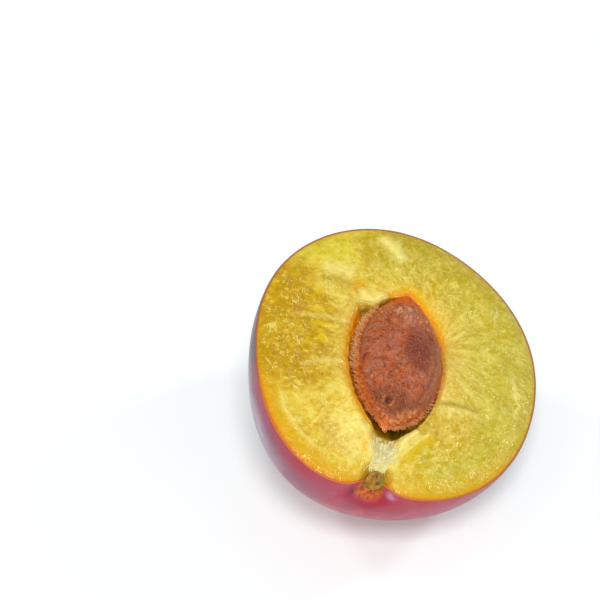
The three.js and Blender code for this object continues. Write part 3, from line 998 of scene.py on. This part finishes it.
def flesh_shape():
    """Rings of the flesh from under the fruit, up inside the skin, over the face and down the
    hollow, with what its finish needs to know at each point."""
    angles = column_angles(FLESH_COLUMNS, FLESH_CROWDING)
    outside = bowl(bowl_directions(angles, FLESH_BOWL_FALLS), FLESH_INSET)
    edge = outside[-1]
    rim, gap = hollow_rim(angles)
    share = (np.arange(1, FACE_RINGS + 1) / FACE_RINGS)[:, None]
    rim_x, rim_y = rim[:, 0] + STONE_CENTRE[0], rim[:, 1] + STONE_CENTRE[1]
    x = edge[None, :, 0] * (1 - share) + rim_x * share
    y = edge[None, :, 1] * (1 - share) + rim_y * share
    inward = np.hypot(x - edge[None, :, 0], y - edge[None, :, 1])
    to_stone = np.hypot(x - rim_x, y - rim_y)
    z = edge[None, :, 2] * (1 - share) ** 2 + face_relief(x, y, inward, to_stone)
    face = np.stack([x, y, z], -1)
    slope = np.linspace(0, np.pi / 2, HOLLOW_RINGS + 1)[1:]
    shares = np.cos(slope)[:, None, None]
    hollow = rim[None] * shares
    steepness = 0.6 + 0.5 * np.clip(gap / 0.9, 0, 1)
    drop = HOLLOW_DEPTH * (1 - shares[..., 0] ** 2) ** steepness
    lip = face[-1, :, 2] - STONE_CENTRE[2]
    hollow[..., 2] = lip * np.exp(-drop) - drop
    hollow = hollow + STONE_CENTRE
    hollow[:-2] += normals_of(hollow)[:-2] * (0.12 * grain(hollow, 1.2, 51))[:-2, :, None]
    rings = np.vstack([outside, face, hollow[:-1]])
    last = STONE_CENTRE - (0, 0, HOLLOW_DEPTH)
    zeros = np.zeros(outside.shape[:2])
    fields = {
        "inward": np.vstack([zeros, inward, np.full(hollow[:-1].shape[:2], 9.0)]),
        "to_stone": np.vstack([zeros + 9, to_stone, -drop[:-1]]),
    }
    flat_x, flat_y = rings[..., 0], rings[..., 1]
    on_top = np.vstack([zeros, np.ones(face.shape[:2]), np.ones(hollow[:-1].shape[:2])])
    fields["valley"] = valley(flat_x, flat_y) * on_top * step(0.4, 1.6, fields["inward"])
    ragged = raggedness(rings * (1, 1, 0))
    for name, marks in COLOUR_MARKS.items():
        fields[name] = on_top * np.clip(marked(flat_x, flat_y, ragged, marks), 0, 1)
    fields["crest"] = on_top * wet_crests(flat_x, flat_y) * step(0.3, 1.2, fields["inward"])
    fields["fibre_place"] = fibre_place(flat_x, flat_y)
    return rings, last, fields


def make_flesh(finish):
    """The flesh: one closed body. Gives the points of its cut face."""
    rings, last, fields = flesh_shape()
    # values at the two poles, where they aren't 0
    ends = {"inward": (0.0, 9.0), "to_stone": (9.0, -9.0)}
    stored = {}
    for name, values in fields.items():
        flat = values.reshape(-1, *values.shape[2:])
        bottom, top = (np.full_like(flat[:1], v) for v in ends.get(name, (0.0, 0.0)))
        stored[name] = np.concatenate([bottom, flat, top])
    first = bowl(LOWEST[None], FLESH_INSET)
    make_body("plum_flesh", first, rings, last[None], stored, finish, "flesh", "flesh")
    on_top = len(FLESH_BOWL_FALLS)
    return rings[on_top:on_top + FACE_RINGS].reshape(-1, 3)


STONE_COLUMNS = 280
STONE_RINGS = 260
PIT_X = -1.05
PIT_Y = -9.8
DENT_X = 1.5
DENT_Y = -10.2
FLANK_SEAM = ((2.3, 6.2), (5.2, 3.4), (5.9, 0.0), (5.4, -4.0), (3.9, -8.4), (2.0, -11.2))


def stone_surface(turn, around):
    """The stone at a turn from its sharp end and an angle round its length, 0 at the top: a lens
    that tapers to both ends, with its sharp end leant to the left and its foot blunted."""
    width = STONE_HALF_WIDTH * stone_half_width(turn)
    height = STONE_HALF_HEIGHT * np.abs(np.sin(turn)) ** STONE_SPINE
    lens = np.cos(around) * np.abs(np.cos(around)) ** (STONE_KEEL - 1)
    y = STONE_HALF_LENGTH * np.cos(turn) + 0 * around
    x = width * np.sin(around) + stone_lean(y)
    y = y + FOOT_BLUNTING * step(-9.0, -STONE_HALF_LENGTH, y)
    return np.stack([x, y, height * lens], -1) + STONE_CENTRE


def stone_relief(points, turn, around):
    """Height over the plain lens: keel and furrow, a fuller flank, pits and lengthwise grain."""
    from_keel = np.degrees(np.abs(np.abs((around + np.pi) % (2 * np.pi) - np.pi) - np.pi / 2))
    body = np.sin(turn) ** 0.8
    relief = body * (0.12 * hump(from_keel, 5.0) - 0.14 * hump(from_keel - 14.0, 6.0))
    relief += np.where(np.sin(around) > 0, 0.2, 0.1) * body * hump(from_keel - 38.0, 9.0)
    relief += body * 0.1 * grain(points, 2.4, 61)
    relief += body * 0.09 * grain(points * (1.0, 0.4, 1.0), 0.9, 62)
    relief += body * 0.04 * noise(points, 0.55, 63)
    upper = points[..., 2] > STONE_CENTRE[2]
    pit = np.hypot(points[..., 0] - PIT_X, points[..., 1] - PIT_Y)
    relief -= upper * (0.6 * hump(pit, 0.42) - 0.14 * hump(pit - 0.8, 0.28))
    dent = np.hypot(points[..., 0] - DENT_X, (points[..., 1] - DENT_Y) / 1.6)
    relief -= upper * 0.3 * hump(dent, 0.6)
    relief -= upper * 0.1 * line_mark(points[..., 0], points[..., 1], FLANK_SEAM, 0.3)
    return relief - RELIEF_SINK - TIP_WEAR * step(1.0, 8.0, points[..., 1]) * body


def make_stone(finish):
    """The stone: a lens along its length, given its relief along its normals."""
    turn = np.pi * (1 - np.arange(1, STONE_RINGS + 1) / (STONE_RINGS + 1))[:, None]
    around = (2 * np.pi * np.arange(STONE_COLUMNS) / STONE_COLUMNS)[None, :]
    rings = stone_surface(turn, around)
    rings = rings + normals_of(rings) * stone_relief(rings, turn, around)[..., None]
    inset = STONE_HALF_WIDTH * stone_half_width(turn) * (1 - np.abs(np.sin(around)))
    edge = np.hypot(inset, rings[..., 2] - STONE_CENTRE[2])
    upper = rings[..., 2] > STONE_CENTRE[2]
    seam = line_mark(rings[..., 0], rings[..., 1], FLANK_SEAM, 0.22) * upper
    first = STONE_CENTRE - (0, STONE_HALF_LENGTH - FOOT_INSET, 0)
    last = STONE_CENTRE + (stone_lean(STONE_HALF_LENGTH), STONE_HALF_LENGTH - TIP_INSET, 0)
    stored = {"edge": np.pad(edge.ravel(), 1), "seam": np.pad(seam.ravel(), 1)}
    make_body("plum_stone", first[None], rings, last[None], stored, finish, "stone", "stone")


STRAND_SIDES = 5
SPUR_FIBRES = 26
SPUR_ROOT = np.array([-0.75, -12.7, 0.2])
SPUR_TIP = np.array([-0.9, -14.1, 0.25])


def make_strands(name, paths, radii, finish, slot):
    """A piece of tapered round strands along paths of (strand, station, 3): rings about each path's
    own cross axes, closed by a point at both ends. Stores how far along each strand a point is."""
    count, stations = paths.shape[:2]
    ahead = np.gradient(paths, axis=1)
    ahead /= np.linalg.norm(ahead, axis=-1, keepdims=True)
    helper = np.where(np.abs(ahead[..., 2:]) < 0.9, np.array([0, 0, 1.0]), np.array([1.0, 0, 0]))
    side = np.cross(ahead, helper)
    side /= np.linalg.norm(side, axis=-1, keepdims=True)
    other = np.cross(ahead, side)
    angle = 2 * np.pi * np.arange(STRAND_SIDES) / STRAND_SIDES
    spin = side[:, :, None] * np.cos(angle)[:, None] + other[:, :, None] * np.sin(angle)[:, None]
    rings = paths[:, :, None] + spin * radii[..., None, None]
    each = stations * STRAND_SIDES + 2
    before = paths[:, :1] - ahead[:, :1] * radii[:, :1, None]
    beyond = paths[:, -1:] + ahead[:, -1:] * radii[:, -1:, None]
    points = np.concatenate([before, rings.reshape(count, -1, 3), beyond], axis=1).reshape(-1, 3)
    along = np.concatenate([[0.0], np.repeat(np.linspace(0, 1, stations), STRAND_SIDES), [1.0]])
    one = closed_faces(stations, STRAND_SIDES)
    faces = [[corner + k * each for corner in face] for k in range(count) for face in one]
    make_piece(name, points, faces, {"along": np.tile(along, count)}, finish, slot)


def bent_paths(start, end, lift, rng, stations=7):
    """Smooth paths from start to end that swing out by `lift` in the middle, each a little its own."""
    t = np.linspace(0, 1, stations)[None, :, None]
    swing = lift[:, None, :] * np.sin(np.pi * t)
    count = len(start)
    curl = rng.normal(size=(count, 1, 3)) * 0.12
    curl = curl * np.sin(2 * np.pi * t + rng.uniform(0, 6, (count, 1, 1)))
    length = np.linalg.norm(end - start, axis=1)[:, None, None]
    return start[:, None] * (1 - t) + end[:, None] * t + swing + curl * length


def standing_fibres(degrees, lengths, thickness, rise, rng):
    """Torn fibres that stand out of the stone's keel at some degrees from its sharp end: towards
    the left over 180 and towards the right under it. `rise` is their span round the stone's
    length, where 90 is the keel and less is higher."""
    count = len(degrees)
    turn = np.radians(np.where(degrees > 180, 360 - degrees, degrees))
    side = np.where(degrees > 180, -1, 1)
    around = side * np.radians(rng.uniform(*rise, count))
    start = stone_surface(turn, around)
    along = stone_surface(turn + 0.01, around) - start
    along /= np.linalg.norm(along, axis=1, keepdims=True)
    outward = np.stack([side * np.sin(turn), 0.55 * np.cos(turn), np.zeros(count)], -1)
    aim = outward + along * rng.normal(0, 0.5, count)[:, None]
    aim += (0, 0, 0.4) * rng.normal(1.1, 0.8, (count, 1))
    aim /= np.linalg.norm(aim, axis=1, keepdims=True)
    swing = rng.normal(0, 0.1, (count, 3))
    paths = bent_paths(start - aim * 0.25, start + aim * lengths[:, None], swing, rng)
    taper = np.linspace(1, 0.3, paths.shape[1])
    return paths, rng.uniform(*thickness, count)[:, None] * taper


def make_fringe(finish):
    """The pale fringe at the stone's upper left edge, and pale hairs at its lower right."""
    rng = np.random.default_rng(71)
    degrees = np.concatenate([
        rng.uniform(252, 312, 330),
        rng.uniform(122, 172, 90),
        rng.uniform(60, 122, 70),
        rng.uniform(188, 254, 50),
    ])
    lengths = rng.uniform(0.3, 1.2, len(degrees)) * np.where(degrees > 254, 1, 0.7)
    lengths *= np.where(degrees > 300, 0.6, 1)
    paths, radii = standing_fibres(degrees, lengths, (0.035, 0.065), (74, 100), rng)
    make_strands("stone_fringe", paths, radii, finish, "stone")


def make_edge_fibres(finish):
    """Rusty fibres round the stone's foot and lower left edge, and the spur at its foot."""
    rng = np.random.default_rng(72)
    degrees = np.concatenate([
        rng.uniform(172, 256, 420),
        rng.uniform(130, 172, 120),
        rng.uniform(340, 378, 40),
    ])
    lengths = rng.uniform(0.25, 0.85, len(degrees)) * np.where(np.abs(degrees - 180) < 14, 0.5, 1)
    paths, radii = standing_fibres(degrees % 360, lengths, (0.04, 0.08), (64, 102), rng)
    shape = (SPUR_FIBRES, 3)
    spur_start = STONE_CENTRE + SPUR_ROOT + rng.normal(0, (0.5, 0.25, 0.2), shape)
    spur_end = STONE_CENTRE + SPUR_TIP + rng.normal(0, (0.12, 0.2, 0.12), shape)
    spur = bent_paths(spur_start, spur_end, rng.normal(0, 0.05, shape), rng)
    spur_radii = np.full((SPUR_FIBRES, 1), 0.15) * np.linspace(1, 0.3, spur.shape[1])
    paths = np.concatenate([paths, spur])
    radii = np.concatenate([radii, spur_radii])
    make_strands("stone_edge_fibres", paths, radii, finish, "stone")


def make_lying_fibres(name, count, seed, thickness, finish):
    """Fibres that lie on the stone's upper side, mostly along it, each bending a little."""
    rng = np.random.default_rng(seed)
    stations = 9
    t = np.linspace(0, 1, stations)[None, :]
    turn = rng.uniform(0.35, 2.75, (count, 1)) + rng.normal(0.06, 0.05, (count, 1)) * t
    turn = turn + 0.03 * np.sin(t * rng.uniform(2, 7, (count, 1)))
    around = np.radians(rng.uniform(-84, 84, (count, 1)) + rng.normal(0, 8, (count, 1)) * t)
    winding = t * rng.uniform(2, 8, (count, 1)) + rng.uniform(0, 6, (count, 1))
    around = around + 0.06 * np.sin(winding)
    plain = stone_surface(turn, around)
    half_sizes = np.array([STONE_HALF_WIDTH, STONE_HALF_LENGTH, STONE_HALF_HEIGHT])
    outward = (plain - STONE_CENTRE) / half_sizes**2
    outward /= np.linalg.norm(outward, axis=-1, keepdims=True)
    paths = plain + outward * (stone_relief(plain, turn, around) + 0.035)[..., None]
    radii = rng.uniform(*thickness, (count, 1)) * np.sin(np.pi * (0.08 + 0.84 * t))
    make_strands(name, paths, radii, finish, "stone")


def surface_height(x, y, surface):
    """Height of the nearest point of a surface, by place on the cut face."""
    across = x.ravel()[:, None] - surface[None, :, 0]
    along = y.ravel()[:, None] - surface[None, :, 1]
    return surface[(across**2 + along**2).argmin(1), 2].reshape(x.shape)


STRANDS_START_Y = -21.8


def make_stalk_strands(surface, finish):
    """Cream strands that fan out of the stalk's scar along the valley's floor and its banks."""
    rng = np.random.default_rng(73)
    count, stations = 110, 11
    across = rng.uniform(-0.8, 0.8, count)
    start = np.stack([-0.25 + 0.7 * across, np.full(count, STRANDS_START_Y), np.zeros(count)], -1)
    end_y = rng.uniform(-19.0, -15.6, count)
    out = (end_y + 21.9) / 6.7
    end = np.stack([-0.1 + 0.5 * out + (0.9 + 1.5 * out) * across, end_y, np.zeros(count)], -1)
    paths = bent_paths(start, end, rng.normal(0, 0.1, (count, 3)), rng, stations)
    paths[..., 0] += 0.05 * np.sin(paths[..., 1] * 2.2 + rng.uniform(0, 6, (count, 1)))
    near = surface[(np.abs(surface[:, 0]) < 5) & (surface[:, 1] < -13)]
    lift = rng.uniform(-0.02, 0.16, (count, 1)) * np.sin(np.linspace(0.2, np.pi - 0.2, stations))
    paths[..., 2] = surface_height(paths[..., 0], paths[..., 1], near) + lift
    radii = rng.uniform(0.05, 0.12, (count, 1)) * np.sin(np.linspace(0.5, 2.9, stations))
    make_strands("stalk_strands", paths, radii, finish, "flesh")


SCAR_COLUMNS = 90
SCAR_RINGS = 44
SCAR_HALF_SIZES = (1.8, 1.4, 0.66)
SCAR_X = -0.3
SCAR_Y = -22.85
SCAR_LEAN = 32


def make_stalk_scar(surface, finish):
    """The stalk's torn base at the end of the valley: a lumpy lens that leans over the cut edge."""
    turn = np.pi * (1 - np.arange(1, SCAR_RINGS + 1) / (SCAR_RINGS + 1))[:, None]
    around = (2 * np.pi * np.arange(SCAR_COLUMNS) / SCAR_COLUMNS)[None, :]
    out = np.sin(turn)
    unit = np.stack([out * np.sin(around), np.cos(turn) + 0 * around, out * np.cos(around)], -1)
    lens = unit * SCAR_HALF_SIZES * (1 + 0.3 * grain(unit, 0.7, 81))[..., None]
    near = surface[np.hypot(surface[:, 0] - SCAR_X, surface[:, 1] - SCAR_Y) < 1.2]
    centre = np.array([SCAR_X, SCAR_Y, near[:, 2].mean() - 0.1])
    lean = turn_about(0, SCAR_LEAN).T
    half_length = SCAR_HALF_SIZES[1]
    ends = np.array([[0, -half_length, 0], [0, half_length, 0]]) @ lean + centre
    make_body("stalk_scar", ends[:1], lens @ lean + centre, ends[1:], {}, finish, "flesh")


def frame_offset():
    """Where the fruit's origin stands in the frame: its skin's box is centred on the solid's and
    stands on the same floor."""
    outer = skin_rings()[:SKIN_RINGS + 1] @ TURN.T * MILLIMETRE
    low, high = (np.array(corner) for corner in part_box("skin"))
    offset = (low + high - outer.min((0, 1)) - outer.max((0, 1))) / 2
    offset[2] = low[2] - outer[..., 2].min()
    return offset


FLOOR_HALF = 3.0


def make_floor():
    """A wide pale floor, far larger than the view."""
    mesh = bpy.data.meshes.new("floor")
    corners = [(x * FLOOR_HALF, y * FLOOR_HALF, 0) for x, y in ((-1, -1), (1, -1), (1, 1), (-1, 1))]
    mesh.from_pydata(corners, [], [(0, 1, 2, 3)])
    mesh.materials.append(floor_finish())
    floor = bpy.data.objects.new("floor", mesh)
    bpy.context.collection.objects.link(floor)


def make_camera():
    """A long lens that sees the middle of the cut face where the photograph has it."""
    data = bpy.data.cameras.new("camera")
    data.sensor_width = SENSOR
    data.lens = LENS
    data.clip_start = 0.01
    data.clip_end = 20
    camera = bpy.data.objects.new("camera", data)
    bpy.context.collection.objects.link(camera)
    tip = math.radians(CAMERA_ELEVATION)
    right = np.array([1.0, 0, 0])
    above = np.array([0, math.sin(tip), math.cos(tip)])
    back = np.array([0, -math.cos(tip), math.sin(tip)])
    reach = LENS / SENSOR * FRAME_PIXELS
    across = (FACE_MIDDLE_PIXEL[0] - FRAME_PIXELS / 2) / reach
    down = (FACE_MIDDLE_PIXEL[1] - FRAME_PIXELS / 2) / reach
    sight = across * right - down * above - back
    sight *= CAMERA_DISTANCE / np.linalg.norm(sight)
    camera.location = Vector(lay(np.zeros(3)) - sight)
    camera.rotation_euler = (math.pi / 2 - tip, 0, 0)
    bpy.context.scene.camera = camera


# The lamps: name, place in metres, width of the square, power in watts and colour
LAMPS = (
    ("front_panel", (0.0, -0.39, 0.765), 0.22, 4.45, (1.0, 1.0, 1.0)),
    ("left_lamp", (-0.5, 0.3, 0.45), 0.12, 1.0, (1.0, 0.98, 0.94)),
    ("right_lamp", (0.6, 0.2, 0.5), 0.12, 1.5, (1.0, 1.0, 1.0)),
    ("front_fill", (-0.3, -0.5, 0.35), 0.5, 0.4, (1.0, 1.0, 1.0)),
)
LAMP_TARGET = Vector((0.0, 0.0, 0.02))
ROOM_COLOUR = (0.97, 0.98, 1.0, 1.0)
ROOM_STRENGTH = 0.3


def make_light():
    """A dim white room, a soft panel in front and above, a small lamp behind at each side for wet
    glints, and a weak wide fill in front."""
    world = bpy.data.worlds.new("white_room")
    bpy.context.scene.world = world
    world.use_nodes = True
    backdrop = world.node_tree.nodes["Background"]
    backdrop.inputs["Color"].default_value = ROOM_COLOUR
    backdrop.inputs["Strength"].default_value = ROOM_STRENGTH
    for name, place, width, power, colour in LAMPS:
        data = bpy.data.lights.new(name, "AREA")
        data.size = width
        data.energy = power
        data.color = colour
        lamp = bpy.data.objects.new(name, data)
        bpy.context.collection.objects.link(lamp)
        lamp.location = place
        lamp.rotation_euler = (LAMP_TARGET - Vector(place)).to_track_quat("-Z", "Y").to_euler()


OFFSET = frame_offset()
make_camera()
make_light()
make_floor()
bpy.context.scene.view_settings.view_transform = "Standard"
make_skin(skin_finish())
cut_face = make_flesh(flesh_finish())
make_stone(stone_finish())
tan_fibre = strand_finish("tan_stone_fibre", (232, 142, 74), (250, 196, 128), (255, 220, 164))
nap_fibre = strand_finish("nap_fibre", (176, 104, 70), (206, 142, 106), (216, 160, 128))
rusty_fibre = strand_finish("rusty_stone_fibre", (220, 104, 34), (240, 146, 70), (250, 192, 128))
rusty_nap = strand_finish("rusty_nap_fibre", (176, 76, 32), (200, 104, 56), (214, 136, 92))
cream_fibre = strand_finish("cream_stalk_fibre", (246, 232, 150), (222, 204, 130), (255, 255, 240))
make_fringe(tan_fibre)
make_edge_fibres(rusty_fibre)
make_lying_fibres("pale_nap", 170, 74, (0.014, 0.03), nap_fibre)
make_lying_fibres("rusty_nap", 190, 75, (0.016, 0.034), rusty_nap)
make_stalk_strands(cut_face, cream_fibre)
make_stalk_scar(cut_face, scar_finish())
